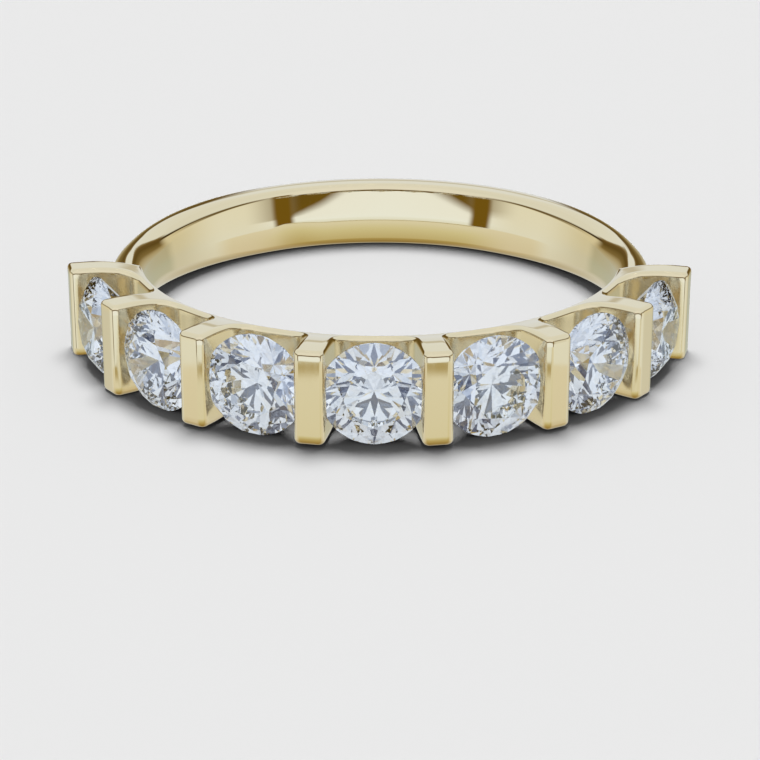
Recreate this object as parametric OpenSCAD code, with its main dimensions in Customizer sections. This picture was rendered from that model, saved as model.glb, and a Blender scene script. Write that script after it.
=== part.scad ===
// Half eternity wedding band: a plain gold shank whose front half carries
// seven round stones, each held between two upright bars.
// The finger's axis is Z, the origin is the middle of the finger hole,
// and the middle stone faces -Y. All sizes are in millimetres.

/* [Shank] */
// Diameter of the finger hole
finger_d = 16.7; // [16.5:0.1:16.8]
// Width of the shank along the finger
shank_w = 2.36; // [2.2:0.02:2.5]
// Thickness of the metal at the two sides of the shank
shank_side_t = 1.29; // [1.2:0.01:1.4]
// How much thicker the back is than the sides
shank_back_extra = 0.45; // [0.2:0.05:0.6]
// Rounding of the finger hole's two edges
comfort_r = 0.28; // [0.2:0.02:0.34]

/* [Bars] */
// Distance from the finger's axis to the flat outer faces of the bars
bar_outer_r = 11; // [10.95:0.01:11.1]
// Thickness of each bar along the row
bar_w = 1; // [0.9:0.05:1.1]
// Height of each bar along the finger
bar_h = 3.18; // [3.1:0.02:3.3]
// Angle from one bar to the next
bar_pitch = 21.75; // [21.5:0.05:22]
// Distance from the finger's axis at which the bars' ends begin to curve inwards
bar_flat_r = 9.8; // [9.6:0.05:10]
// Radius of that inward curve of the bars' ends
bar_curve_r = 2.8; // [2.7:0.05:2.9]
// Rounding of the bars' outer edges
bar_edge_r = 0.16; // [0.1:0.02:0.2]

/* [Pockets] */
// Distance from the finger's axis to the wall behind the stones
pocket_wall_r = 8.8; // [8.75:0.01:8.85]
// Radius of the two inner corners of each pocket
pocket_corner_r = 0.75; // [0.6:0.05:0.9]

/* [Stones] */
// Diameter of each round stone
stone_d = 3.42; // [3.3:0.02:3.5]
// Distance from the finger's axis to the widest plane of the stones
girdle_r = 10.3; // [10.28:0.01:10.34]
// Width of the table as a share of the diameter
table_share = 0.56; // [0.53:0.01:0.6]
// Height of the crown as a share of the diameter
crown_share = 0.15; // [0.13:0.01:0.16]
// Depth of the pavilion as a share of the diameter
pavilion_share = 0.43; // [0.42:0.005:0.435]
// Thickness of the girdle as a share of the diameter
girdle_share = 0.03; // [0.02:0.005:0.04]
// Clearance between a stone and its seat
seat_gap = 0.03; // [0.02:0.005:0.05]

/* [Hidden] */

// The row
stone_count = 7;
middle_stone = (stone_count + 1) / 2;
half_pitch = bar_pitch / 2;
row_half_angle = stone_count * half_pitch;

// The shank
finger_r = finger_d / 2;
shank_half_w = shank_w / 2;
shank_outer_r = finger_r + shank_side_t;
// The metal is made down to here, and then the finger hole is cut
core_r = finger_r - 1;

// Fineness of the rounded outlines
edge_steps = 5;
curve_steps = 9;
round_steps = 14;
round_fn = 128;

// Shares that set where the small facets of a brilliant meet
star_reach = 0.5;
lower_half_reach = 0.76;

// Small overshoots that keep the cuts clear of the faces they leave
nib = 0.005;
far = 3;

stone_r = stone_d / 2;
table_r = stone_r * table_share;
crown_h = stone_d * crown_share;
pavilion_h = stone_d * pavilion_share;
girdle_h = stone_d * girdle_share;

// Points on a circle about c, from angle a to angle b
function arc(c, r, a, b, steps) =
    [for (i = [0:steps]) c + r * [cos(a + (b - a) * i / steps), sin(a + (b - a) * i / steps)]];

function mirrored_x(points) = [for (i = [len(points) - 1:-1:0]) [-points[i][0], points[i][1]]];

function mirrored_y(points) = [for (i = [len(points) - 1:-1:0]) [points[i][0], -points[i][1]]];

// A point at distance r and angle a about the stone's axis, h above its girdle plane
function facet_point(r, a, h) = [r * cos(a), r * sin(a), h];

// Angle of a stone about the finger, counted from the middle one
function stone_angle(i) = (i - middle_stone) * bar_pitch;

// The shank

// Half-round section: flat inside, one full round outside
module shank_section() {
    outer = arc([shank_outer_r - shank_half_w, 0], shank_half_w, 90, -90, round_steps);
    polygon(concat([[core_r, -shank_half_w], [core_r, shank_half_w]], outer));
}

// Cuts one edge of the shank's finger hole round
module shank_edge() {
    top = shank_half_w + nib;
    curve = arc([finger_r + comfort_r, top - comfort_r], comfort_r, 180, 90, edge_steps);
    rotate_extrude($fn = round_fn) polygon(concat(
        [[core_r - far, top - comfort_r]], curve,
        [[finger_r + comfort_r, top + far], [core_r - far, top + far]]));
}

// Full circle whose centre lies behind the finger's axis, so that the back is thicker
module shank() {
    difference() {
        translate([0, shank_back_extra, 0]) rotate_extrude($fn = round_fn) shank_section();
        shank_edge();
        mirror([0, 0, 1]) shank_edge();
    }
}

module finger_hole() {
    cylinder(h = 4 * far, r = finger_r, center = true, $fn = round_fn);
}

// The bars

// Side view of a bar: flat outer face, rounded corner, end curving in and round to the finger hole
module bar_section() {
    half_h = bar_h / 2;
    corner = arc([bar_outer_r - bar_edge_r, half_h - bar_edge_r], bar_edge_r, 0, 90, edge_steps);
    inner_c = finger_r + comfort_r - nib;
    turn = asin((bar_flat_r - inner_c) / (bar_curve_r - comfort_r));
    inner_z = half_h - bar_curve_r + (bar_curve_r - comfort_r) * cos(turn);
    curve = arc([bar_flat_r, half_h - bar_curve_r], bar_curve_r, 90, 90 + turn, curve_steps);
    inner = arc([inner_c, inner_z], comfort_r, 90 + turn, 180, edge_steps);
    upper = concat(corner, curve, [for (i = [1:edge_steps]) inner[i]], [[core_r, inner_z]]);
    polygon(concat(upper, mirrored_y(upper)));
}

// The part of the ring's circle that the row takes up, cut along the outer sides of the end bars
module row_wedge() {
    reach = bar_outer_r + far;
    side = reach * [sin(row_half_angle), -cos(row_half_angle)]
        + bar_w / 2 * [cos(row_half_angle), sin(row_half_angle)];
    apex = [0, bar_w / 2 / sin(row_half_angle)];
    linear_extrude(height = 2 * far, center = true)
        polygon([apex, [-side[0], side[1]], [-side[0], -reach], [side[0], -reach], side]);
}

module row_blank() {
    intersection() {
        rotate_extrude($fn = round_fn) bar_section();
        row_wedge();
    }
}

// Plan of a pocket: round inner corners, sides along the two bars, edges rounded at the mouth
module pocket_plan() {
    s = sin(half_pitch);
    c = cos(half_pitch);
    corner_y = pocket_wall_r + pocket_corner_r;
    corner_x = (corner_y * s - bar_w / 2 - pocket_corner_r) / c;
    corner = arc([corner_x, corner_y], pocket_corner_r, -90, -half_pitch, curve_steps);
    mouth_along = bar_outer_r - bar_edge_r;
    mouth_off = bar_w / 2 - bar_edge_r;
    mouth = arc([mouth_along * s - mouth_off * c, mouth_along * c + mouth_off * s],
        bar_edge_r, 180 - half_pitch, 90 - half_pitch, edge_steps);
    right = concat(corner, mouth, [[mouth_along * s, bar_outer_r + far]]);
    rotate(180) polygon(concat(right, mirrored_x(right)));
}

module pocket() {
    linear_extrude(height = 2 * far, center = true) pocket_plan();
}

// Stands a shape that is made about +Z on the row, so that its axis points away from the finger
module on_row(i) {
    rotate([0, 0, stone_angle(i)]) translate([0, -girdle_r, 0]) rotate([90, 0, 0]) children();
}

// A stone's outline as a solid of revolution, larger by the clearance
module seat() {
    rise = seat_gap / cos(40);
    rotate_extrude($fn = round_fn) polygon([
        [0, -girdle_h / 2 - pavilion_h - rise],
        [stone_r + seat_gap, -girdle_h / 2 - rise / 2],
        [stone_r + seat_gap, girdle_h / 2 + rise / 2],
        [table_r, girdle_h / 2 + crown_h + rise],
        [0, girdle_h / 2 + crown_h + rise]
    ]);
}

module band() {
    color("khaki") difference() {
        union() {
            shank();
            row_blank();
        }
        for (i = [1:stone_count]) {
            rotate([0, 0, stone_angle(i)]) pocket();
            on_row(i) seat();
        }
        finger_hole();
    }
}

// The stones

// Round brilliant: table, 8 stars, 8 kites, 16 upper and 16 lower girdle facets, 8 mains
module brilliant() {
    mains = 8;
    step = 360 / mains;
    half_step = step / 2;
    star_r = table_r * cos(half_step) + star_reach * (stone_r - table_r * cos(half_step));
    star_h = crown_h * (stone_r - star_r * cos(half_step)) / (stone_r - table_r);
    lower_r = stone_r * (1 - lower_half_reach);
    lower_h = pavilion_h * (stone_r - lower_r * cos(half_step)) / stone_r;
    points = concat(
        [for (k = [0:mains - 1]) facet_point(table_r, k * step, girdle_h / 2 + crown_h)],
        [for (k = [0:mains - 1]) facet_point(star_r, (k + 0.5) * step, girdle_h / 2 + star_h)],
        [for (k = [0:2 * mains - 1]) facet_point(stone_r, k * half_step, girdle_h / 2)],
        [for (k = [0:2 * mains - 1]) facet_point(stone_r, k * half_step, -girdle_h / 2)],
        [for (k = [0:mains - 1]) facet_point(lower_r, (k + 0.5) * step, -girdle_h / 2 - lower_h)],
        [[0, 0, -girdle_h / 2 - pavilion_h]]);
    table = 0;
    star = mains;
    upper = 2 * mains;
    lower = 4 * mains;
    belt = 2 * mains;
    tip = 6 * mains;
    culet = 7 * mains;
    faces = concat(
        [[for (k = [mains - 1:-1:0]) table + k]],
        [for (k = [0:mains - 1]) [table + k, table + (k + 1) % mains, star + k]],
        [for (k = [0:mains - 1]) [star + k, upper + 2 * k, table + k]],
        [for (k = [0:mains - 1]) [star + (k + mains - 1) % mains, table + k, upper + 2 * k]],
        [for (k = [0:mains - 1]) [star + k, upper + 2 * k + 1, upper + 2 * k]],
        [for (k = [0:mains - 1]) [star + k, upper + (2 * k + 2) % belt, upper + 2 * k + 1]],
        [for (k = [0:belt - 1]) [upper + k, upper + (k + 1) % belt, lower + (k + 1) % belt, lower + k]],
        [for (k = [0:mains - 1]) [tip + k, lower + 2 * k, lower + 2 * k + 1]],
        [for (k = [0:mains - 1]) [tip + k, lower + 2 * k + 1, lower + (2 * k + 2) % belt]],
        [for (k = [0:mains - 1]) [culet, lower + 2 * k, tip + k]],
        [for (k = [0:mains - 1]) [culet, tip + (k + mains - 1) % mains, lower + 2 * k]]);
    polyhedron(points = points, faces = faces);
}

module stone(i) {
    color("aliceblue") on_row(i) brilliant();
}

band();
stone(1);  // stone_1
stone(2);  // stone_2
stone(3);  // stone_3
stone(4);  // stone_4
stone(5);  // stone_5
stone(6);  // stone_6
stone(7);  // stone_7
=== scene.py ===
# Half eternity ring: a pale gold band with seven round stones between upright bars
import math

import bmesh
import bpy
import numpy as np
from mathutils import Matrix, Vector


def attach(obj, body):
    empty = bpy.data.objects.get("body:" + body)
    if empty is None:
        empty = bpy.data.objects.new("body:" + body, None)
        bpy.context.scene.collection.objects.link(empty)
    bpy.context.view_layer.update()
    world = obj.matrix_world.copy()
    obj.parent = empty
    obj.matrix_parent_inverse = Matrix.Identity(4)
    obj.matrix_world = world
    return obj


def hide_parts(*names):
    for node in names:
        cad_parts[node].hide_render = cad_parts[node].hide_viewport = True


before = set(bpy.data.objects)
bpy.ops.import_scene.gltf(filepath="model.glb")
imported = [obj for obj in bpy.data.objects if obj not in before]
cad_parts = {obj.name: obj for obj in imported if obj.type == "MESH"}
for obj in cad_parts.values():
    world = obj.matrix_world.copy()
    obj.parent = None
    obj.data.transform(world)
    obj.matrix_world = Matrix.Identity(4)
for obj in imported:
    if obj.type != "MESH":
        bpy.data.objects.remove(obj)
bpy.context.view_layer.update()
print("frame loaded")

mm = 0.001
row = {"stones": 7, "pitch": 21.75}  # degrees from one bar to the next


# Camera at the photograph's angle, in mm and degrees: x is to the right of the ring's middle,
# y towards its back
camera = {
    "place": (1.542, -83.04, 29.06),
    "aside": -1.064,
    "down": 21.451,
    "lens": 117.24,
    "sensor": 36.0,
    "nearest": 0.001,  # metres
    "farthest": 10.0,
}


def addCamera():
    data = bpy.data.cameras.new("photoCamera")
    data.lens = camera["lens"]
    data.sensor_width = camera["sensor"]
    data.clip_start = camera["nearest"]
    data.clip_end = camera["farthest"]
    view = bpy.data.objects.new("photoCamera", data)
    view.location = [v * mm for v in camera["place"]]
    view.rotation_euler = (math.radians(90 - camera["down"]), 0, math.radians(-camera["aside"]))
    bpy.context.scene.collection.objects.link(view)
    bpy.context.scene.camera = view


addCamera()


# Small helpers for nodes

def newNode(tree, kind, **inputs):
    made = tree.nodes.new(kind)
    for name, value in inputs.items():
        made.inputs[name.replace("_", " ")].default_value = value
    return made


def newGroup(name, inputs, outputs):
    tree = bpy.data.node_groups.new(name, "ShaderNodeTree")
    for label, kind, value in inputs:
        socket = tree.interface.new_socket(name=label, in_out="INPUT", socket_type=kind)
        socket.default_value = value
    for label, kind in outputs:
        tree.interface.new_socket(name=label, in_out="OUTPUT", socket_type=kind)
    return tree, tree.nodes.new("NodeGroupInput"), tree.nodes.new("NodeGroupOutput")


def placeGroup(tree, group, **values):
    placed = tree.nodes.new("ShaderNodeGroup")
    placed.node_tree = group
    for name, value in values.items():
        placed.inputs[name.replace("_", " ")].default_value = value
    return placed


def newMath(tree, operation, first=None, second=None):
    made = tree.nodes.new("ShaderNodeMath")
    made.operation = operation
    if first is not None:
        made.inputs[0].default_value = first
    if second is not None:
        made.inputs[1].default_value = second
    return made


def newMaterial(name):
    material = bpy.data.materials.new(name)
    material.use_nodes = True
    tree = material.node_tree
    return material, tree, tree.nodes["Principled BSDF"], tree.nodes.new("ShaderNodeTexCoord")


# Fine wear: a slow cloud and thin crossing marks, both 0 to 1
wearLook = {
    "cloudDetail": 3.0,
    "cloudRoughness": 0.55,
    "markDetail": 2.0,
    "markRoughness": 0.6,
    "markTurn": (0.5, 0.3, 0.7),
    "markStretch": (1.0, 1.0, 0.12),
}


def makeWearGroup():
    tree, start, end = newGroup(
        "fineWear",
        [("Vector", "NodeSocketVector", (0, 0, 0)), ("Cloud Scale", "NodeSocketFloat", 300.0),
         ("Mark Scale", "NodeSocketFloat", 2500.0)],
        [("Cloud", "NodeSocketFloat"), ("Marks", "NodeSocketFloat")])
    cloud = newNode(tree, "ShaderNodeTexNoise", Detail=wearLook["cloudDetail"],
                    Roughness=wearLook["cloudRoughness"])
    tree.links.new(start.outputs["Vector"], cloud.inputs["Vector"])
    tree.links.new(start.outputs["Cloud Scale"], cloud.inputs["Scale"])
    stretch = newNode(tree, "ShaderNodeMapping")
    stretch.inputs["Rotation"].default_value = wearLook["markTurn"]
    stretch.inputs["Scale"].default_value = wearLook["markStretch"]
    tree.links.new(start.outputs["Vector"], stretch.inputs["Vector"])
    marks = newNode(tree, "ShaderNodeTexNoise", Detail=wearLook["markDetail"],
                    Roughness=wearLook["markRoughness"])
    tree.links.new(stretch.outputs["Vector"], marks.inputs["Vector"])
    tree.links.new(start.outputs["Mark Scale"], marks.inputs["Scale"])
    tree.links.new(cloud.outputs["Fac"], end.inputs["Cloud"])
    tree.links.new(marks.outputs["Fac"], end.inputs["Marks"])
    return tree


fineWear = makeWearGroup()

goldLook = {
    "colour": (0.88, 0.755, 0.495, 1),
    "deepColour": (0.86, 0.73, 0.46, 1),
    "roughness": (0.012, 0.035),
    "pocketRoughness": 0.22,
    # painted reflection: the pockets' deeper gold stands in for the gold round them reflected there
    "pocketReflectionColour": (0.87, 0.72, 0.42, 1),
    "markHeight": 0.0000006,
    "markStrength": 0.35,
    "marks": (0.35, 0.65),  # the part of the marks' range that the roughness follows
    "cloudScale": 260.0,
    "markScale": 2200.0,
}


def makeGold():
    material, tree, shader, coords = newMaterial("paleGold")
    wear = placeGroup(tree, fineWear, Cloud_Scale=goldLook["cloudScale"], Mark_Scale=goldLook["markScale"])
    tree.links.new(coords.outputs["Object"], wear.inputs["Vector"])
    tint = tree.nodes.new("ShaderNodeMix")
    tint.data_type = "RGBA"
    tint.inputs[6].default_value = goldLook["colour"]
    tint.inputs[7].default_value = goldLook["deepColour"]
    tree.links.new(wear.outputs["Cloud"], tint.inputs[0])
    pocket = tree.nodes.new("ShaderNodeAttribute")
    pocket.attribute_name = "pocket"
    # painted reflection: a deeper gold where the pocket mark is, standing in for the gold round the pockets
    pocketReflectionMix = tree.nodes.new("ShaderNodeMix")
    pocketReflectionMix.data_type = "RGBA"
    pocketReflectionMix.inputs[7].default_value = goldLook["pocketReflectionColour"]
    tree.links.new(pocket.outputs["Fac"], pocketReflectionMix.inputs[0])
    tree.links.new(tint.outputs[2], pocketReflectionMix.inputs[6])
    tree.links.new(pocketReflectionMix.outputs[2], shader.inputs["Base Color"])
    rough = newNode(tree, "ShaderNodeMapRange")
    rough.inputs["From Min"].default_value = goldLook["marks"][0]
    rough.inputs["From Max"].default_value = goldLook["marks"][1]
    rough.inputs["To Min"].default_value = goldLook["roughness"][0]
    rough.inputs["To Max"].default_value = goldLook["roughness"][1]
    tree.links.new(wear.outputs["Marks"], rough.inputs["Value"])
    satin = tree.nodes.new("ShaderNodeMix")
    satin.inputs[3].default_value = goldLook["pocketRoughness"]
    tree.links.new(pocket.outputs["Fac"], satin.inputs[0])
    tree.links.new(rough.outputs["Result"], satin.inputs[2])
    tree.links.new(satin.outputs[0], shader.inputs["Roughness"])
    bump = newNode(tree, "ShaderNodeBump", Strength=goldLook["markStrength"],
                   Distance=goldLook["markHeight"])
    tree.links.new(wear.outputs["Marks"], bump.inputs["Height"])
    tree.links.new(bump.outputs["Normal"], shader.inputs["Normal"])
    shader.inputs["Metallic"].default_value = 1.0
    return material


stoneLook = {
    "clear": (0.985, 0.99, 1.0, 1),
    "cool": (0.93, 0.96, 1.0, 1),
    "ior": 2.417,
    "cloudScale": 700.0,
    "markScale": 4000.0,
}


def makeDiamond():
    material, tree, shader, coords = newMaterial("clearStone")
    wear = placeGroup(tree, fineWear, Cloud_Scale=stoneLook["cloudScale"], Mark_Scale=stoneLook["markScale"])
    tree.links.new(coords.outputs["Object"], wear.inputs["Vector"])
    tint = tree.nodes.new("ShaderNodeMix")
    tint.data_type = "RGBA"
    tint.inputs[6].default_value = stoneLook["clear"]
    tint.inputs[7].default_value = stoneLook["cool"]
    tree.links.new(wear.outputs["Cloud"], tint.inputs[0])
    tree.links.new(tint.outputs[2], shader.inputs["Base Color"])
    shader.inputs["Metallic"].default_value = 0.0
    shader.inputs["Roughness"].default_value = 0.0
    shader.inputs["IOR"].default_value = stoneLook["ior"]
    shader.inputs["Transmission Weight"].default_value = 1.0
    return material


gold = makeGold()
diamond = makeDiamond()
print("materials made")


# The band, in mm and degrees. Plan points are (across, out) from the finger's axis
band = {
    "fingerRadius": 8.35,
    "holeRound": 0.28,
    "barOut": 10.99,
    "barWidth": 1.0,
    "barHeight": 3.18,
    "flatFrom": 10.4,
    "topCurve": 6.3,
    "pocketWall": 8.8,
    "pocketCorner": 0.75,
    "uprightRound": 0.24,
    "rimRound": 0.17,
    "comfortSlope": 0.084,  # how the finger hole widens towards its edges
    "comfortPower": 1.6,
    "boreCrowding": 1.8,  # rows of points closer together at the hole's edge
    "shankWidth": 2.4,
    "shankSide": 1.29,
    "shankSet": 0.45,
    "shankEdge": 0.24,
    "edgeBend": 0.55,  # how fully the shank's edges are rounded
    "shoulderEdge": 0.64,
    "shoulderFrom": 100.0,
    "shoulderTo": 150.0,
    "shoulderRound": 2.0,  # power of the section's outline: 2 is a true round, more is fuller
    "backRound": 2.8,
    "flare": 0.16,
    "flareFrom": 84.0,
    "flareTo": 104.0,
    "joinRound": 0.24,
}
steps = {"cross": 4, "upright": 6, "side": 14, "corner": 9, "wall": 6, "height": 9, "rim": 6,
         "hole": 8, "bore": 8, "shank": 64}

halfPitch = math.radians(row["pitch"] / 2)
barAxis = np.array([math.sin(halfPitch), math.cos(halfPitch)])
barSide = np.array([math.cos(halfPitch), -math.sin(halfPitch)])  # away from the pocket
halfBar = band["barWidth"] / 2
halfHeight = band["barHeight"] / 2
holeCentre = band["fingerRadius"] + band["holeRound"]
sinTurn = (band["flatFrom"] - holeCentre) / (band["topCurve"] - band["holeRound"])
cosTurn = math.sqrt(1 - sinTurn ** 2)
holeHeight = halfHeight - band["topCurve"] + (band["topCurve"] - band["holeRound"]) * cosTurn
holeStart = holeCentre - band["holeRound"] * sinTurn  # where the top turns into the hole's rounding


def topHeight(r):
    if r >= band["flatFrom"]:
        return halfHeight
    drop = band["flatFrom"] - r
    return halfHeight - band["topCurve"] + math.sqrt(band["topCurve"] ** 2 - drop ** 2)


def bulge(height):
    # the hole is narrowest at its middle
    return band["comfortSlope"] * abs(height) ** band["comfortPower"] / band["comfortPower"]


def bulgeSlope(height):
    return band["comfortSlope"] * height ** (band["comfortPower"] - 1)


def holeArc(count):
    # (distance from the axis, height) from the top's end down to the bore
    turn = math.asin(sinTurn)
    out = []
    for i in range(count + 1):
        a = turn + (math.pi / 2 - turn) * i / count
        widen = bulge(holeHeight) * i / count
        out.append((holeCentre - band["holeRound"] * math.sin(a) + widen,
                    holeHeight + band["holeRound"] * math.cos(a)))
    return out


def boreLine(top, count):
    # (distance from the axis, height) from below the hole's rounding to the middle
    heights = [top * (1 - (i / count) ** band["boreCrowding"]) for i in range(1, count + 1)]
    return [(band["fingerRadius"] + bulge(z), z) for z in heights]


def onBar(along, aside):
    # plan point on the bar, aside of its middle plane towards the pocket
    return barAxis * along - barSide * aside


def outlineStations():
    # the metal's outline in plan from the outer face to the pocket's middle: point, way in, far end
    rim = band["rimRound"]
    upright = band["uprightRound"]
    corner = band["pocketCorner"]
    cornerOut = band["pocketWall"] + corner
    cornerAcross = (cornerOut * barAxis[0] - halfBar - corner) / barAxis[1]
    cornerMid = np.array([cornerAcross, cornerOut])
    foot = barAxis * holeStart
    found = []
    for i in range(steps["upright"]):
        a = math.pi / 2 * (1 - i / steps["upright"])
        centre = onBar(band["barOut"] - upright, halfBar - upright)
        way = -(barAxis * math.sin(a) - barSide * math.cos(a))
        point = centre - way * upright
        inner = point + way * rim
        found.append((point, way, barAxis * float(inner @ barAxis)))
    sideStart = band["barOut"] - upright
    sideEnd = float((cornerMid + barSide * corner) @ barAxis)
    for i in range(steps["side"]):
        along = sideStart + (sideEnd - sideStart) * i / steps["side"]
        found.append((onBar(along, halfBar), barSide, barAxis * along))
    footAngle = math.atan2(foot[1] - cornerMid[1], foot[0] - cornerMid[0])
    angles = list(np.linspace(-halfPitch, footAngle, steps["corner"] + 1))
    angles += list(np.linspace(footAngle, -math.pi / 2, steps["corner"] + 1))[1:]
    for i, a in enumerate(angles):
        way = np.array([math.cos(a), math.sin(a)])
        point = cornerMid + way * corner
        if i < steps["corner"]:
            reach = -float(cornerMid @ barSide) / float(way @ barSide)
            end = cornerMid + way * reach
        elif i == steps["corner"]:
            end = foot
        else:
            ahead = float(cornerMid @ way)
            beyond = float(cornerMid @ cornerMid) - holeStart ** 2
            end = cornerMid + way * (-ahead - math.sqrt(ahead * ahead - beyond))
        found.append((point, way, end))
    for i in range(1, steps["wall"] + 1):
        across = cornerAcross * (1 - i / steps["wall"])
        point = np.array([across, band["pocketWall"]])
        end = np.array([across, math.sqrt(holeStart ** 2 - across ** 2)])
        found.append((point, np.array([0.0, -1.0]), end))
    return found


def rimRows(point, way, height, radius):
    # upright wall from the middle up, then the rounded rim
    rows = [(point[0], point[1], height * i / steps["height"]) for i in range(steps["height"] + 1)]
    for i in range(1, steps["rim"] + 1):
        a = math.pi / 2 * i / steps["rim"]
        p = point + way * radius * (1 - math.cos(a))
        rows.append((p[0], p[1], height + radius * math.sin(a)))
    return rows


def halfSector():
    # patches of one quarter of a pocket's surroundings: right half, upper half
    rim = band["rimRound"]
    stations = outlineStations()
    walls = []
    tops = []
    holes = []
    footIndex = steps["upright"] + steps["side"] + steps["corner"]
    for i, (point, way, end) in enumerate(stations):
        inner = point + way * rim
        rimTop = topHeight(float(np.hypot(*inner)))
        walls.append(rimRows(point, way, rimTop - rim, rim))
        line = []
        for j in range(steps["cross"] + 1):
            p = inner + (end - inner) * j / steps["cross"]
            line.append((p[0], p[1], topHeight(float(np.hypot(*p)))))
        tops.append(line)
        if i >= footIndex:
            a = math.atan2(end[0], end[1])
            inside = holeArc(steps["hole"]) + boreLine(holeHeight, steps["bore"])
            holes.append([(r * math.sin(a), r * math.cos(a), z) for r, z in inside])
    face = []
    flat = halfBar - band["uprightRound"]
    for j in range(steps["cross"] + 1):
        point = onBar(band["barOut"], flat * (1 - j / steps["cross"]))
        face.append(rimRows(point, -barAxis, halfHeight - rim, rim))
    return [np.array(walls), np.array(tops), np.array(holes), np.array(face)]


def barProfile():
    # the bar's middle section from the outer face over the top to the bore's middle: (out, height)
    rim = band["rimRound"]
    wall = rimRows(np.array([0.0, band["barOut"]]), np.array([0.0, -1.0]), halfHeight - rim, rim)
    outer = [(r, z) for _, r, z in wall]
    top = []
    for point, way, end in outlineStations()[1:steps["upright"] + steps["side"] + steps["corner"] + 1]:
        r = float(np.hypot(*end))
        top.append((r, topHeight(r)))
    hole = holeArc(steps["hole"])[1:]
    return outer, top, hole, boreLine(holeHeight, steps["bore"])


def addPatch(mesh, patch, flip=(1, 1, 1)):
    # patch[i][j] holds (x, out, z); out runs against y
    scale = np.array([flip[0], -flip[1], flip[2]])
    rows = [[mesh.verts.new(point * scale * mm) for point in line] for line in patch]
    for a, b in zip(rows[:-1], rows[1:]):
        for i in range(len(a) - 1):
            mesh.faces.new((a[i], a[i + 1], b[i + 1], b[i]))


def closeSeams(mesh, gap=0.0003):
    bmesh.ops.remove_doubles(mesh, verts=mesh.verts, dist=gap * mm)
    bmesh.ops.dissolve_degenerate(mesh, edges=mesh.edges, dist=gap * mm)


def meshObject(name, mesh, material):
    data = bpy.data.meshes.new(name)
    mesh.to_mesh(data)
    mesh.free()
    data.materials.append(material)
    made = bpy.data.objects.new(name, data)
    bpy.context.scene.collection.objects.link(made)
    return made


def makeSector():
    mesh = bmesh.new()
    for patch in halfSector():
        for x in (1, -1):
            for z in (1, -1):
                addPatch(mesh, patch, (x, 1, z))
    closeSeams(mesh)
    return meshObject("rowSector", mesh, gold)


# One sector turned about the finger's axis as often as there are stones
def makeRowTree():
    tree = bpy.data.node_groups.new("turnedRow", "GeometryNodeTree")
    side = tree.interface
    side.new_socket(name="Geometry", in_out="INPUT", socket_type="NodeSocketGeometry")
    side.new_socket(name="Stones", in_out="INPUT", socket_type="NodeSocketInt")
    side.new_socket(name="Pitch", in_out="INPUT", socket_type="NodeSocketFloat")
    side.new_socket(name="Gold", in_out="INPUT", socket_type="NodeSocketMaterial")
    side.new_socket(name="Geometry", in_out="OUTPUT", socket_type="NodeSocketGeometry")
    start = tree.nodes.new("NodeGroupInput")
    end = tree.nodes.new("NodeGroupOutput")
    points = tree.nodes.new("GeometryNodePoints")
    index = tree.nodes.new("GeometryNodeInputIndex")
    last = newMath(tree, "SUBTRACT", None, 1.0)
    half = newMath(tree, "DIVIDE", None, 2.0)
    fromMiddle = newMath(tree, "SUBTRACT")
    turn = newMath(tree, "MULTIPLY")
    angles = tree.nodes.new("ShaderNodeCombineXYZ")
    rotation = tree.nodes.new("FunctionNodeEulerToRotation")
    place = tree.nodes.new("GeometryNodeInstanceOnPoints")
    realize = tree.nodes.new("GeometryNodeRealizeInstances")
    paint = tree.nodes.new("GeometryNodeSetMaterial")
    link = tree.links.new
    link(start.outputs["Stones"], points.inputs["Count"])
    link(start.outputs["Stones"], last.inputs[0])
    link(last.outputs[0], half.inputs[0])
    link(index.outputs[0], fromMiddle.inputs[0])
    link(half.outputs[0], fromMiddle.inputs[1])
    link(fromMiddle.outputs[0], turn.inputs[0])
    link(start.outputs["Pitch"], turn.inputs[1])
    link(turn.outputs[0], angles.inputs["Z"])
    link(angles.outputs[0], rotation.inputs[0])
    link(points.outputs[0], place.inputs["Points"])
    link(start.outputs["Geometry"], place.inputs["Instance"])
    link(rotation.outputs[0], place.inputs["Rotation"])
    link(place.outputs[0], realize.inputs[0])
    link(realize.outputs[0], paint.inputs["Geometry"])
    link(start.outputs["Gold"], paint.inputs["Material"])
    link(paint.outputs[0], end.inputs[0])
    return tree


def runTree(target, tree, **values):
    # runs a Geometry Nodes tree on an object and gives back the plain mesh
    modifier = target.modifiers.new("maker", "NODES")
    modifier.node_group = tree
    for item in tree.interface.items_tree:
        if item.item_type == "SOCKET" and item.in_out == "INPUT" and item.name in values:
            modifier[item.identifier] = values[item.name]
    result = bpy.data.meshes.new_from_object(target.evaluated_get(bpy.context.evaluated_depsgraph_get()))
    target.modifiers.remove(modifier)
    return result


# The shank: half-round outside about a centre set back, round hole inside about the finger's axis
shankRound = band["shankWidth"] / 2
shankMid = band["fingerRadius"] + band["shankSide"] - shankRound
endAngle = math.radians(row["pitch"] * row["stones"] / 2)
endAxis = np.array([math.sin(endAngle), -math.cos(endAngle)])
endSide = np.array([math.cos(endAngle), math.sin(endAngle)])


def smooth(t):
    t = min(1.0, max(0.0, t))
    return t * t * (3 - 2 * t)


def fade(angle, start, stop):
    # 1 up to the start angle and 0 from the stop angle on, in degrees from the middle of the row
    return smooth((stop - math.degrees(angle)) / (stop - start))


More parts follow.
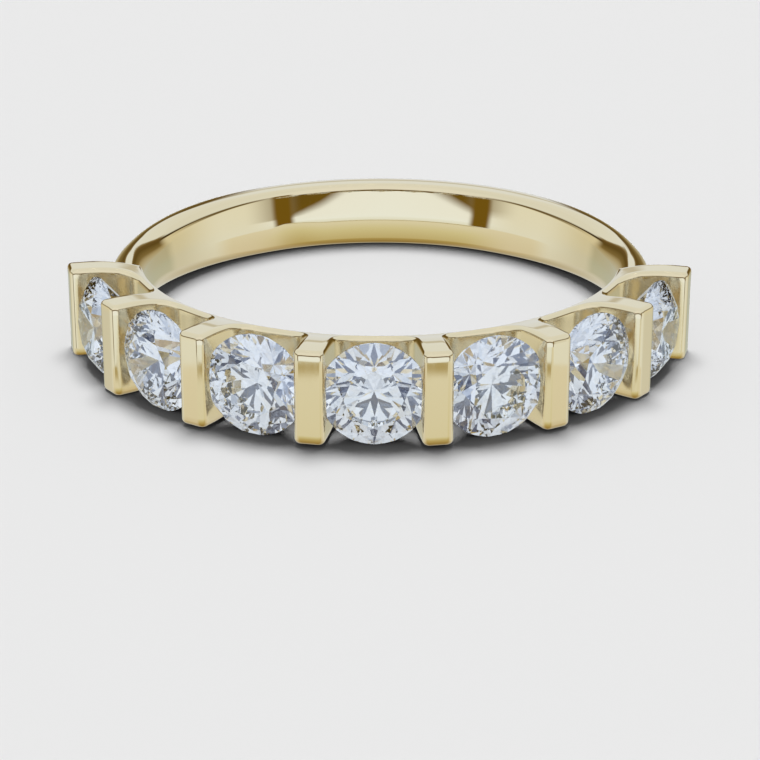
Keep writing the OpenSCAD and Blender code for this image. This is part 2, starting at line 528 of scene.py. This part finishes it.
def shankSection(angle, outerAngles, holeCount, boreCount):
    # points (x, y, z) of the upper half of the section at an angle from -Y about the set-back centre
    way = np.array([math.sin(angle), -math.cos(angle)])
    centre = np.array([0.0, band["shankSet"]])
    ahead = float(centre @ way)
    boreOut = -ahead + math.sqrt(ahead * ahead - float(centre @ centre) + band["fingerRadius"] ** 2)
    top = shankRound + band["flare"] * fade(angle, band["flareFrom"], band["flareTo"])
    shoulder = fade(angle, band["shoulderFrom"], band["shoulderTo"])
    soft = band["shankEdge"] + (band["shoulderEdge"] - band["shankEdge"]) * shoulder
    power = band["backRound"] + (band["shoulderRound"] - band["backRound"]) * shoulder
    edgeOut = boreOut + bulge(top - soft) + soft
    if edgeOut <= shankMid:
        edgeTop, slope = top, 0.0
        edgeAngle = math.pi - math.atan2(edgeTop, shankMid - edgeOut)
    else:
        drop = (edgeOut - shankMid) / shankRound
        left = 1 - drop ** power
        edgeTop = top * left ** (1 / power)
        slope = -top / shankRound * drop ** (power - 1) * left ** (1 / power - 1)
        edgeAngle = math.acos(drop ** (power / 2))
    flatPoints = []
    lastAngle = outerAngles[-1]
    for a in outerAngles:
        turn = a / lastAngle * edgeAngle
        if turn <= math.pi / 2:
            across = max(0.0, math.cos(turn)) ** (2 / power)
            flatPoints.append((shankMid + shankRound * across, top * math.sin(turn) ** (2 / power)))
        else:
            flatPoints.append((shankMid + top / math.tan(turn), top))
    bend = band["edgeBend"]
    boreTop = edgeTop - soft
    p0 = np.array([edgeOut, edgeTop])
    p1 = p0 - np.array([1.0, slope]) * soft * bend
    p3 = np.array([boreOut + bulge(boreTop), boreTop])
    p2 = p3 + np.array([bulgeSlope(boreTop), 1.0]) * soft * bend
    for i in range(1, holeCount + 1):
        t = i / holeCount
        p = (1 - t) ** 3 * p0 + 3 * (1 - t) ** 2 * t * p1 + 3 * (1 - t) * t * t * p2 + t ** 3 * p3
        flatPoints.append((p[0], p[1]))
    for r, z in boreLine(boreTop, boreCount):
        flatPoints.append((boreOut + r - band["fingerRadius"], z))
    return np.array([[centre[0] + way[0] * r, centre[1] + way[1] * r, z] for r, z in flatPoints])


# Where the end bar and the shank meet, in mm and degrees
join = {
    "searchFrom": 60.0,
    "searchTo": 100.0,
    "searchCuts": 81,
    "barRows": (0.0, 0.12, 0.24),
    "midRows": (0.25, 0.5, 0.75),
    "fullStep": 2.4,  # times the fillet's radius, from which it is fully round
    "loose": 0.03,
    "cornerBelow": 0.2,  # how far below the top the upright's rounding starts to take over
    "cornerOver": 0.3,
    "angleDigits": 9,
}


def endBarAndShank():
    # rows of points from the end bar's middle plane, over its outer side and round to the back
    outer, top, hole, bore = barProfile()
    profile = outer + top + hole + bore
    count = len(profile)
    keepOut = len(outer)
    angles = [math.atan2(z, r - shankMid) for r, z in outer + top]
    sections = np.radians(np.linspace(join["searchFrom"], join["searchTo"], join["searchCuts"]))
    table = np.array([shankSection(a, angles, steps["hole"], steps["bore"]) for a in sections])
    offsets = table[:, :, :2] @ endSide  # distance beyond the end bar's middle plane

    def onShank(j, beyond):
        a = float(np.interp(beyond, offsets[:, j], sections))
        place = np.array([np.interp(a, sections, table[:, j, k]) for k in range(3)])
        return a, place

    def onEnd(j, beyond):
        r, z = profile[j]
        along = r if j < keepOut else math.sqrt(r * r - beyond * beyond)
        flat = endAxis * along + endSide * beyond
        return np.array([flat[0], flat[1], z])

    # outward direction of both outlines in the end plane, as (out, height)
    def outwards(points):
        flat = np.array([[float(p[:2] @ endAxis), p[2]] for p in points])
        ahead = np.vstack([flat[1:], [flat[-2] * (1, -1)]])
        behind = np.vstack([[flat[1] * (1, -1)], flat[:-1]])
        way = ahead - behind
        normal = np.stack([way[:, 1], -way[:, 0]], axis=1)
        return flat, normal / np.linalg.norm(normal, axis=1)[:, None]

    barEdge = [onEnd(j, halfBar) for j in range(count)]
    shankEdge = [onShank(j, halfBar)[1] for j in range(count)]
    barFlat, barOutward = outwards(barEdge)
    shankFlat, shankOutward = outwards(shankEdge)
    # inside the hole only the step across the surface counts
    step = np.linalg.norm(barFlat - shankFlat, axis=1)
    across = np.abs(np.sum((barFlat - shankFlat) * shankOutward, axis=1))
    inside = keepOut + len(top)
    step[inside:] = across[inside:]
    share = np.array([smooth(s / (join["fullStep"] * band["joinRound"])) for s in step])
    loose = join["loose"] * (1 - share)
    rims = np.full(count, band["rimRound"])
    for j in range(keepOut):
        low = smooth((halfHeight - join["cornerBelow"] - profile[j][1]) / join["cornerOver"])
        rims[j] += (band["uprightRound"] - band["rimRound"]) * low

    def inPlane(point, outward, amount):
        return point + np.array([endAxis[0] * outward[0], endAxis[1] * outward[0], outward[1]]) * amount

    rows = []
    for beyond in join["barRows"]:
        rows.append([onEnd(j, beyond) for j in range(count)])
    for i in range(steps["rim"] + 1):
        a = math.pi / 2 * i / steps["rim"]
        line = []
        for j in range(count):
            beyond = halfBar - loose[j] - rims[j] * (1 - math.sin(a))
            line.append(inPlane(onEnd(j, beyond), barOutward[j], -rims[j] * share[j] * (1 - math.cos(a))))
        rows.append(line)
    rimLine = rows[-1]
    joinLine = []
    for j in range(count):
        _, place = onShank(j, halfBar + loose[j])
        joinLine.append(inPlane(place, shankOutward[j], band["joinRound"] * share[j]))
    for t in join["midRows"]:
        rows.append([a + (b - a) * t for a, b in zip(rimLine, joinLine)])
    rows.append(joinLine)
    for i in range(1, steps["rim"] + 1):
        a = math.pi / 2 * i / steps["rim"]
        line = []
        for j in range(count):
            _, place = onShank(j, halfBar + loose[j] + band["joinRound"] * (1 - math.cos(a)))
            line.append(inPlane(place, shankOutward[j], band["joinRound"] * share[j] * (1 - math.sin(a))))
        rows.append(line)
    starts = [onShank(j, halfBar + loose[j] + band["joinRound"])[0] for j in range(count)]
    for i in range(1, steps["shank"] + 1):
        t = i / steps["shank"]
        cut = {}  # points at the same angle share one section
        points = []
        for j in range(count):
            a = starts[j] + (math.pi - starts[j]) * t
            key = round(a, join["angleDigits"])
            if key not in cut:
                cut[key] = shankSection(a, angles, steps["hole"], steps["bore"])
            points.append(cut[key][j])
        rows.append(points)
    return np.array([[(p[0], -p[1], p[2]) for p in line] for line in rows])


# The seats are the stones' outlines, a little larger, in mm
seat = {
    "gap": 0.03,  # clearance round the stone
    "girdleOut": 10.3,
    "radius": 1.71,
    "table": 0.9576,
    "crown": 0.513,
    "pavilion": 1.4706,
    "girdle": 0.1026,
    "slant": 40.0,  # degrees
    "sides": 72,
}


def makeSeats():
    mesh = bmesh.new()
    rise = seat["gap"] / math.cos(math.radians(seat["slant"]))
    wide = seat["radius"] + seat["gap"]
    half = seat["girdle"] / 2
    outline = [(0, -half - seat["pavilion"] - rise), (wide, -half - rise / 2), (wide, half + rise / 2),
               (seat["table"], half + seat["crown"] + rise), (0, half + seat["crown"] + rise)]
    for i in range(row["stones"]):
        made = [mesh.verts.new((r * mm, 0, z * mm)) for r, z in outline]
        edges = [mesh.edges.new((a, b)) for a, b in zip(made[:-1], made[1:])]
        bmesh.ops.spin(mesh, geom=made + edges, cent=(0, 0, 0), axis=(0, 0, 1), angle=2 * math.pi,
                       steps=seat["sides"], use_duplicate=False)
        fresh = [v for v in mesh.verts if not v.tag]
        bmesh.ops.transform(mesh, matrix=onRow(i), verts=fresh)
        for v in mesh.verts:
            v.tag = True
    closeSeams(mesh)
    bmesh.ops.recalc_face_normals(mesh, faces=mesh.faces)
    return meshObject("seatCutter", mesh, gold)


def onRow(i):
    turn = math.radians((i - (row["stones"] - 1) / 2) * row["pitch"])
    return (Matrix.Rotation(turn, 4, "Z") @ Matrix.Translation((0, -seat["girdleOut"] * mm, 0))
            @ Matrix.Rotation(math.pi / 2, 4, "X"))


# where the pockets are satin and carry a painted reflection, a deeper gold
pocketSatinAndReflection = {"reach": 2.6, "from": 0.4, "full": 0.8}  # mm, and shares of facing the stone


def markPockets(data):
    # 1 where the metal faces a stone and 0 elsewhere. There the gold is satin, which no polishing wheel
    # reaches, and is painted a deeper gold as a painted reflection of the gold round it
    centres = [onRow(i).to_translation() for i in range(row["stones"])]
    mark = data.attributes.new("pocket", "FLOAT", "POINT")
    for vertex, item in zip(data.vertices, mark.data):
        away = min((c - vertex.co for c in centres), key=lambda v: v.length)
        facing = away.normalized().dot(vertex.normal)
        if away.length < pocketSatinAndReflection["reach"] * mm:
            span = pocketSatinAndReflection["full"] - pocketSatinAndReflection["from"]
            item.value = smooth((facing - pocketSatinAndReflection["from"]) / span)


edgeFinish = {"sharpOver": 34.0, "weight": 80}  # degrees, percent


def makeBand():
    sector = makeSector()
    rowMesh = runTree(sector, makeRowTree(), Stones=row["stones"], Pitch=math.radians(row["pitch"]),
                      Gold=gold)
    bpy.data.objects.remove(sector)
    mesh = bmesh.new()
    mesh.from_mesh(rowMesh)
    patch = endBarAndShank()
    for x in (1, -1):
        for z in (1, -1):
            addPatch(mesh, patch, (x, 1, z))
    closeSeams(mesh)
    bmesh.ops.recalc_face_normals(mesh, faces=mesh.faces)
    openEdges = [e for e in mesh.edges if not e.is_manifold]
    print("band: faces", len(mesh.faces), "open edges", len(openEdges))
    piece = meshObject("goldBand", mesh, gold)
    seats = makeSeats()
    cut = piece.modifiers.new("seats", "BOOLEAN")
    cut.operation = "DIFFERENCE"
    cut.solver = "EXACT"
    cut.object = seats
    plain = bpy.data.meshes.new_from_object(piece.evaluated_get(bpy.context.evaluated_depsgraph_get()))
    piece.modifiers.remove(cut)
    bpy.data.objects.remove(seats)
    piece.data = plain
    for face in plain.polygons:
        face.use_smooth = True
    plain.set_sharp_from_angle(angle=math.radians(edgeFinish["sharpOver"]))
    even = piece.modifiers.new("even", "WEIGHTED_NORMAL")
    even.keep_sharp = True
    even.weight = edgeFinish["weight"]
    final = bpy.data.meshes.new_from_object(piece.evaluated_get(bpy.context.evaluated_depsgraph_get()))
    piece.modifiers.remove(even)
    piece.data = final
    markPockets(final)
    print("band cut: faces", len(final.polygons))
    return piece


goldBand = makeBand()
goldBand.visible_glossy = False
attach(goldBand, "root")
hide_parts("band")


# Round brilliants: a round blank cut by one plane for each facet
cutSizes = {
    "radius": 1.71,  # mm, and the next four are shares of the diameter
    "table": 0.56,
    "crown": 0.15,
    "pavilion": 0.43,
    "girdle": 0.03,
    "star": 0.5,  # how far the stars reach from the table to the edge
    "lower": 0.76,  # how far the lower facets reach from the edge to the tip
    "sides": 96,
    "mains": 8,
    "blankHeight": 2.4,  # times the diameter
    "weld": 0.0005,  # mm
}
stoneTurns = [4.0, 13.0, 7.0, 0.0, 17.0, 9.0, 2.0]  # degrees, left to right
cutGap = 1e-9  # metres


def cutFacet(mesh, points, inside):
    a, b, c = [Vector(p) for p in points]
    normal = (b - a).cross(c - a).normalized()
    if normal.dot(Vector(inside) - a) > 0:
        normal = -normal
    cut = bmesh.ops.bisect_plane(mesh, geom=mesh.verts[:] + mesh.edges[:] + mesh.faces[:], dist=cutGap,
                                 plane_co=a, plane_no=normal, clear_outer=True)
    edges = [e for e in cut["geom_cut"] if isinstance(e, bmesh.types.BMEdge)]
    bmesh.ops.holes_fill(mesh, edges=edges, sides=0)


def brilliant(turn):
    r = cutSizes["radius"]
    size = 2 * r
    tableR = r * cutSizes["table"]
    crown = size * cutSizes["crown"]
    pavilion = size * cutSizes["pavilion"]
    half = size * cutSizes["girdle"] / 2
    eighth = 2 * math.pi / cutSizes["mains"]
    flatR = tableR * math.cos(eighth / 2)
    starR = flatR + cutSizes["star"] * (r - flatR)
    starZ = half + crown * (r - starR * math.cos(eighth / 2)) / (r - tableR)
    lowR = r * (1 - cutSizes["lower"])
    lowZ = -half - pavilion * (r - lowR * math.cos(eighth / 2)) / r

    def at(radius, angle, z):
        return (radius * math.cos(angle) * mm, radius * math.sin(angle) * mm, z * mm)

    mesh = bmesh.new()
    bmesh.ops.create_cone(mesh, cap_ends=True, segments=cutSizes["sides"], radius1=r * mm, radius2=r * mm,
                          depth=cutSizes["blankHeight"] * size * mm)
    top = half + crown
    planes = [(at(tableR, 0, top), at(tableR, 2, top), at(tableR, 4, top))]
    for k in range(cutSizes["mains"]):
        a = k * eighth
        mid = a + eighth / 2
        planes.append((at(tableR, a, top), at(tableR, a + eighth, top), at(starR, mid, starZ)))
        planes.append((at(tableR, a, top), at(starR, mid, starZ), at(starR, a - eighth / 2, starZ)))
        planes.append((at(r, a, half), at(r, mid, half), at(starR, mid, starZ)))
        planes.append((at(r, mid, half), at(r, a + eighth, half), at(starR, mid, starZ)))
        planes.append((at(r, a, -half), at(r, mid, -half), at(lowR, mid, lowZ)))
        planes.append((at(r, mid, -half), at(r, a + eighth, -half), at(lowR, mid, lowZ)))
        planes.append((at(lowR, mid, lowZ), at(0, 0, -half - pavilion), at(lowR, a - eighth / 2, lowZ)))
    for points in planes:
        cutFacet(mesh, points, (0, 0, 0))
    bmesh.ops.remove_doubles(mesh, verts=mesh.verts, dist=cutSizes["weld"] * mm)
    bmesh.ops.recalc_face_normals(mesh, faces=mesh.faces)
    bmesh.ops.transform(mesh, matrix=Matrix.Rotation(math.radians(turn), 4, "Z"), verts=mesh.verts)
    return mesh


def makeStones():
    for i in range(row["stones"]):
        mesh = brilliant(stoneTurns[i])
        bmesh.ops.transform(mesh, matrix=onRow(i), verts=mesh.verts)
        loose = [e for e in mesh.edges if not e.is_manifold]
        if i == 0:
            print("stone: faces", len(mesh.faces), "open edges", len(loose))
        piece = meshObject("roundStone" + str(i + 1), mesh, diamond)
        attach(piece, "root")
        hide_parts("stone_" + str(i + 1))


makeStones()
print("stones cut")


# Floor and surroundings. The ring lies as it would by itself, on the stones and the shank's back
studio = {
    "floorHalf": 1.5,
    "floorColour": (0.811, 0.811, 0.811, 1),
    "ambient": 0.2,
    "fillPower": 14.6,
    "fillHalfAngle": 13.0,
    "fillSoft": 5.0,
    "fillLean": 14.0,
    "backRest": 8.94,  # mm from the finger's axis to where the shank's back rests
    "cloudScale": 30.0,
    "markScale": 900.0,
    "markStrength": 0.1,
    "markHeight": 0.00001,
    "bounces": 32,
    "glossyBounces": 12,
    "transmissionBounces": 24,
}

# What the metal and the stones mirror: colours by height over the horizon, in degrees
mirrored = {
    "front": [
        (-90, (0.30, 0.22, 0.08)), (-36, (0.46, 0.40, 0.20)), (-29, (0.53, 0.48, 0.26)),
        (-24.5, (0.73, 0.78, 0.66)), (-22.5, (0.80, 0.88, 0.92)), (-21, (0.83, 0.92, 1.02)),
        (-18, (0.92, 1.05, 1.30)), (-3, (0.92, 1.03, 1.25)), (0, (0.16, 0.10, 0.012)),
        (12, (0.12, 0.08, 0.02)), (17, (0.85, 0.90, 1.00)), (60, (0.85, 0.90, 1.00)),
        (90, (0.80, 0.85, 0.95))],
    "around": [
        (-90, (0.30, 0.22, 0.08)), (-40, (0.60, 0.58, 0.50)), (-30, (0.70, 0.71, 0.70)),
        (-21, (0.82, 0.89, 0.97)), (-3, (0.84, 0.87, 0.86)), (1, (0.16, 0.12, 0.05)),
        (11, (0.16, 0.12, 0.05)), (17, (0.80, 0.87, 0.97)), (60, (0.78, 0.84, 0.93)),
        (90, (0.80, 0.85, 0.95))],
    "flank": [
        (-90, (0.30, 0.22, 0.08)), (-40, (0.58, 0.57, 0.52)), (-28, (0.68, 0.70, 0.72)),
        (-20, (0.66, 0.68, 0.65)), (-14, (0.70, 0.69, 0.58)), (5.5, (0.74, 0.71, 0.58)),
        (7.5, (0.06, 0.04, 0.01)), (11, (0.06, 0.04, 0.01)), (13.5, (0.78, 0.84, 0.92)),
        (90, (0.80, 0.85, 0.95))],
    "quarter": [
        (-90, (0.30, 0.22, 0.08)), (-40, (0.58, 0.57, 0.52)), (-28, (0.66, 0.68, 0.68)),
        (-20, (0.50, 0.54, 0.49)), (-14, (0.50, 0.47, 0.36)), (-9, (0.42, 0.36, 0.22)),
        (-4, (0.22, 0.16, 0.06)), (6, (0.12, 0.08, 0.02)), (12, (0.14, 0.09, 0.03)),
        (15, (0.28, 0.22, 0.10)), (17, (0.80, 0.87, 0.97)), (90, (0.80, 0.85, 0.95))],
    "behind": [
        (-90, (0.30, 0.22, 0.08)), (-36, (0.55, 0.54, 0.44)), (-21, (0.68, 0.70, 0.68)),
        (-9, (0.70, 0.72, 0.70)), (0, (0.76, 0.82, 0.92)), (10, (0.76, 0.82, 0.92)),
        (12, (0.58, 0.57, 0.52)), (13.5, (0.58, 0.57, 0.52)), (15.5, (0.80, 0.87, 0.97)),
        (90, (0.80, 0.85, 0.95))],
    # where one gives way to the next, by the angle from the front
    "turns": [("around", 40.0, 34.0), ("flank", 85.0, 40.0), ("quarter", 124.0, 10.0),
              ("behind", 173.0, 2.5)],
    # the table's edge in front: a thin line, and warmer light below it
    "edgeHeight": -21.08,
    "edgeTint": (0.94, 0.87, 0.74),
    "edgeReach": 82.0,
    "edgeFade": 15.0,
    "lineHeights": (-21.45, -21.05),
    "lineColour": (0.46, 0.40, 0.22),
    "lineFade": 0.3,
    "lineEnd": 10.0,
    "fine": 0.08,  # width of a crisp edge
    # the edge rises and the window's top sinks towards their sides: (left, right) in the ring
    "leftFrom": -5.0,  # where the left gives way to the right
    "leftWidth": 10.0,
    "rise": (1.5, 0.0),
    "riseFrom": 27.0,
    "riseWidth": 20.0,
    "riseTo": 50.0,
    "riseEnd": 10.0,
    "sink": (16.0, 11.7),
    "sinkAt": 48.0,
    "sinkPower": 1.1,
    "sinkAbove": -19.5,
    "sinkWidth": 4.0,
    # a dark gap on either side of the front, down to the table's edge
    "gap": (0.18, 0.11, 0.012),
    "gapFrom": 44.0,
    "gapTo": 58.0,
    "gapTop": (13.0, -9.0),
    "gapSoft": 4.0,
    "gapFoot": 0.4,
    "stones": [
        (-90, (0.30, 0.36, 0.46)), (-40, (0.50, 0.57, 0.68)), (-22, (0.72, 0.78, 0.86)),
        (10, (0.78, 0.85, 0.93)), (40, (0.62, 0.70, 0.80)), (47, (0.12, 0.16, 0.26)),
        (54, (0.12, 0.16, 0.26)), (60, (0.95, 1.02, 1.10)), (74, (0.95, 1.02, 1.10)),
        (80, (0.30, 0.36, 0.48)), (90, (0.20, 0.25, 0.36))],
    "stoneDark": (0.05, 0.08, 0.16),
    "headHeight": 21.0,
    "headSize": 13.0,
    "headSoft": 2.0,
    "panels": 9.0,
    "panelWidth": 0.62,
    "panelSoft": 0.1,
    "panelFrom": -8.0,
    "panelTo": 44.0,
    "panelFade": 4.0,
}


def makeFloor():
    low = -seat["radius"]
    tilt = math.atan2(-low - shankRound, studio["backRest"] + seat["girdleOut"])
    mesh = bmesh.new()
    bmesh.ops.create_grid(mesh, x_segments=1, y_segments=1, size=studio["floorHalf"])
    contact = Vector((0, -seat["girdleOut"] * mm, low * mm))
    lean = (Matrix.Translation(contact) @ Matrix.Rotation(tilt, 4, "X")
            @ Matrix.Translation((0, seat["girdleOut"] * mm, 0)))
    bmesh.ops.transform(mesh, matrix=lean, verts=mesh.verts)
    material, tree, shader, coords = newMaterial("palePaper")
    wear = placeGroup(tree, fineWear, Cloud_Scale=studio["cloudScale"], Mark_Scale=studio["markScale"])
    tree.links.new(coords.outputs["Object"], wear.inputs["Vector"])
    shader.inputs["Base Color"].default_value = studio["floorColour"]
    shader.inputs["Roughness"].default_value = 1.0
    shader.inputs["Specular IOR Level"].default_value = 0.0
    bump = newNode(tree, "ShaderNodeBump", Strength=studio["markStrength"], Distance=studio["markHeight"])
    tree.links.new(wear.outputs["Marks"], bump.inputs["Height"])
    tree.links.new(bump.outputs["Normal"], shader.inputs["Normal"])
    floor = meshObject("floor", mesh, material)
    floor.visible_glossy = False
    floor.visible_transmission = False


def linked(tree, operation, a, b=None):
    made = newMath(tree, operation)
    for socket, value in zip(made.inputs, (a, b)):
        if value is None:
            continue
        if isinstance(value, (int, float)):
            socket.default_value = value
        else:
            tree.links.new(value, socket)
    return made.outputs[0]


def heightShare(tree, height):
    # 0 straight down and 1 straight up
    return linked(tree, "ADD", linked(tree, "DIVIDE", height, math.pi), 0.5)


def bandRamp(tree, height, bands):
    # a colour ramp over the height angle from straight down to straight up
    ramp = tree.nodes.new("ShaderNodeValToRGB")
    stops = ramp.color_ramp.elements
    for i, (angle, colour) in enumerate(bands):
        stop = stops[i] if i < 2 else stops.new(1.0)
        stop.position = angle / 180 + 0.5
        stop.color = (*colour, 1)
    tree.links.new(height, ramp.inputs[0])
    return ramp.outputs[0]


def mixColours(tree, share, first, second, blend="MIX"):
    made = tree.nodes.new("ShaderNodeMix")
    made.data_type = "RGBA"
    made.blend_type = blend
    tree.links.new(share, made.inputs[0])
    for socket, value in ((made.inputs[6], first), (made.inputs[7], second)):
        if isinstance(value, tuple):
            socket.default_value = (*value, 1)
        else:
            tree.links.new(value, socket)
    return made.outputs[2]


def stepUp(tree, value, start, width):
    made = tree.nodes.new("ShaderNodeMapRange")
    made.interpolation_type = "SMOOTHSTEP"
    made.inputs["From Min"].default_value = start
    made.inputs["From Max"].default_value = start + width
    tree.links.new(value, made.inputs["Value"])
    return made.outputs["Result"]


def angleStep(tree, value, start, width):
    return stepUp(tree, value, math.radians(start), math.radians(width))


def lessThan(tree, value, start, width):
    return linked(tree, "SUBTRACT", 1.0, angleStep(tree, value, start, width))


def product(tree, *values):
    made = values[0]
    for value in values[1:]:
        made = linked(tree, "MULTIPLY", made, value)
    return made


def sided(tree, left, pair):
    # the first value to the left and the second to the right, in radians
    first, second = [math.radians(v) for v in pair]
    return linked(tree, "ADD", product(tree, left, first - second), second)


def towards(tree, split, sideways, up):
    # cosine of the angle to a direction straight behind (1) or in front (-1), raised by an angle
    return linked(tree, "ADD", product(tree, split.outputs["Y"], sideways * math.cos(up)),
                  product(tree, split.outputs["Z"], math.sin(up)))


def metalSurroundings(tree, height, aside):
    away = linked(tree, "ABSOLUTE", aside)
    left = angleStep(tree, aside, mirrored["leftFrom"], mirrored["leftWidth"])
    rise = product(tree, angleStep(tree, away, mirrored["riseFrom"], mirrored["riseWidth"]),
                   lessThan(tree, away, mirrored["riseTo"], mirrored["riseEnd"]),
                   sided(tree, left, mirrored["rise"]))
    lowered = linked(tree, "SUBTRACT", height, rise)
    nearSide = linked(tree, "MINIMUM", linked(tree, "DIVIDE", away, math.radians(mirrored["sinkAt"])), 1.0)
    share = linked(tree, "POWER", nearSide, mirrored["sinkPower"])
    sink = product(tree, share, sided(tree, left, mirrored["sink"]),
                   angleStep(tree, height, mirrored["sinkAbove"], mirrored["sinkWidth"]))
    front = bandRamp(tree, heightShare(tree, linked(tree, "ADD", lowered, sink)), mirrored["front"])
    lit = front
    for name, start, width in mirrored["turns"]:
        ramp = bandRamp(tree, heightShare(tree, height), mirrored[name])
        lit = mixColours(tree, angleStep(tree, away, start, width), lit, ramp)
    warm = product(tree, lessThan(tree, lowered, mirrored["edgeHeight"], mirrored["fine"]),
                   lessThan(tree, away, mirrored["edgeReach"], mirrored["edgeFade"]))
    lit = mixColours(tree, warm, lit, mirrored["edgeTint"], "MULTIPLY")
    first, last = mirrored["lineHeights"]
    line = product(tree, angleStep(tree, lowered, first, mirrored["lineFade"]),
                   lessThan(tree, lowered, last, mirrored["fine"]),
                   lessThan(tree, away, mirrored["gapFrom"], mirrored["lineEnd"]))
    lit = mixColours(tree, line, lit, mirrored["lineColour"])
    middle = (mirrored["gapFrom"] + mirrored["gapTo"]) / 2
    off = linked(tree, "ABSOLUTE", linked(tree, "SUBTRACT", away, math.radians(middle)))
    half = mirrored["gapTo"] - middle
    inside = product(tree, lessThan(tree, off, half - mirrored["gapSoft"], mirrored["gapSoft"]),
                     angleStep(tree, lowered, mirrored["edgeHeight"], mirrored["gapFoot"]))
    over = linked(tree, "SUBTRACT", height, sided(tree, left, mirrored["gapTop"]))
    gap = product(tree, inside, lessThan(tree, over, 0.0, mirrored["gapSoft"]))
    return mixColours(tree, gap, lit, mirrored["gap"])


def stoneSurroundings(tree, split, height, aside):
    # dark where the onlooker stands, and dark gaps between bright panels
    stones = bandRamp(tree, heightShare(tree, height), mirrored["stones"])
    toHead = towards(tree, split, -1.0, math.radians(mirrored["headHeight"]))
    outer = math.cos(math.radians(mirrored["headSize"] + mirrored["headSoft"]))
    nearHead = stepUp(tree, toHead, outer, math.cos(math.radians(mirrored["headSize"])) - outer)
    wave = linked(tree, "COSINE", product(tree, aside, mirrored["panels"]))
    panelGap = product(tree, stepUp(tree, wave, mirrored["panelWidth"], mirrored["panelSoft"]),
                       angleStep(tree, height, mirrored["panelFrom"], mirrored["panelFade"]),
                       lessThan(tree, height, mirrored["panelTo"], mirrored["panelFade"]))
    return mixColours(tree, linked(tree, "MAXIMUM", nearHead, panelGap), stones, mirrored["stoneDark"])


def floorLight(tree, split):
    # some light from all round, and more from a soft round window above
    toWindow = towards(tree, split, 1.0, math.radians(90 - studio["fillLean"]))
    edge = math.cos(math.radians(studio["fillHalfAngle"] + studio["fillSoft"]))
    inner = math.cos(math.radians(studio["fillHalfAngle"] - studio["fillSoft"]))
    window = stepUp(tree, toWindow, edge, inner - edge)
    fill = linked(tree, "ADD", product(tree, window, studio["fillPower"]), studio["ambient"])
    colour = tree.nodes.new("ShaderNodeCombineColor")
    for socket in colour.inputs:
        tree.links.new(fill, socket)
    return colour.outputs[0]


def makeSurroundings():
    world = bpy.data.worlds.new("studio")
    bpy.context.scene.world = world
    world.use_nodes = True
    tree = world.node_tree
    coords = tree.nodes.new("ShaderNodeTexCoord")
    split = tree.nodes.new("ShaderNodeSeparateXYZ")
    tree.links.new(coords.outputs["Generated"], split.inputs[0])
    height = linked(tree, "ARCSINE", split.outputs["Z"])
    aside = linked(tree, "ARCTAN2", split.outputs["X"], product(tree, split.outputs["Y"], -1.0))
    path = tree.nodes.new("ShaderNodeLightPath")
    onFloor = floorLight(tree, split)
    onMetal = metalSurroundings(tree, height, aside)
    inStones = stoneSurroundings(tree, split, height, aside)
    seen = mixColours(tree, path.outputs["Is Glossy Ray"], onFloor, onMetal)
    final = mixColours(tree, path.outputs["Is Transmission Ray"], seen, inStones)
    tree.links.new(final, tree.nodes["Background"].inputs["Color"])


makeFloor()
makeSurroundings()
scene = bpy.context.scene
scene.view_settings.view_transform = "Standard"
scene.view_settings.look = "None"
scene.cycles.caustics_reflective = False
scene.cycles.caustics_refractive = False
scene.cycles.max_bounces = studio["bounces"]
scene.cycles.glossy_bounces = studio["glossyBounces"]
scene.cycles.transmission_bounces = studio["transmissionBounces"]
print("studio set")
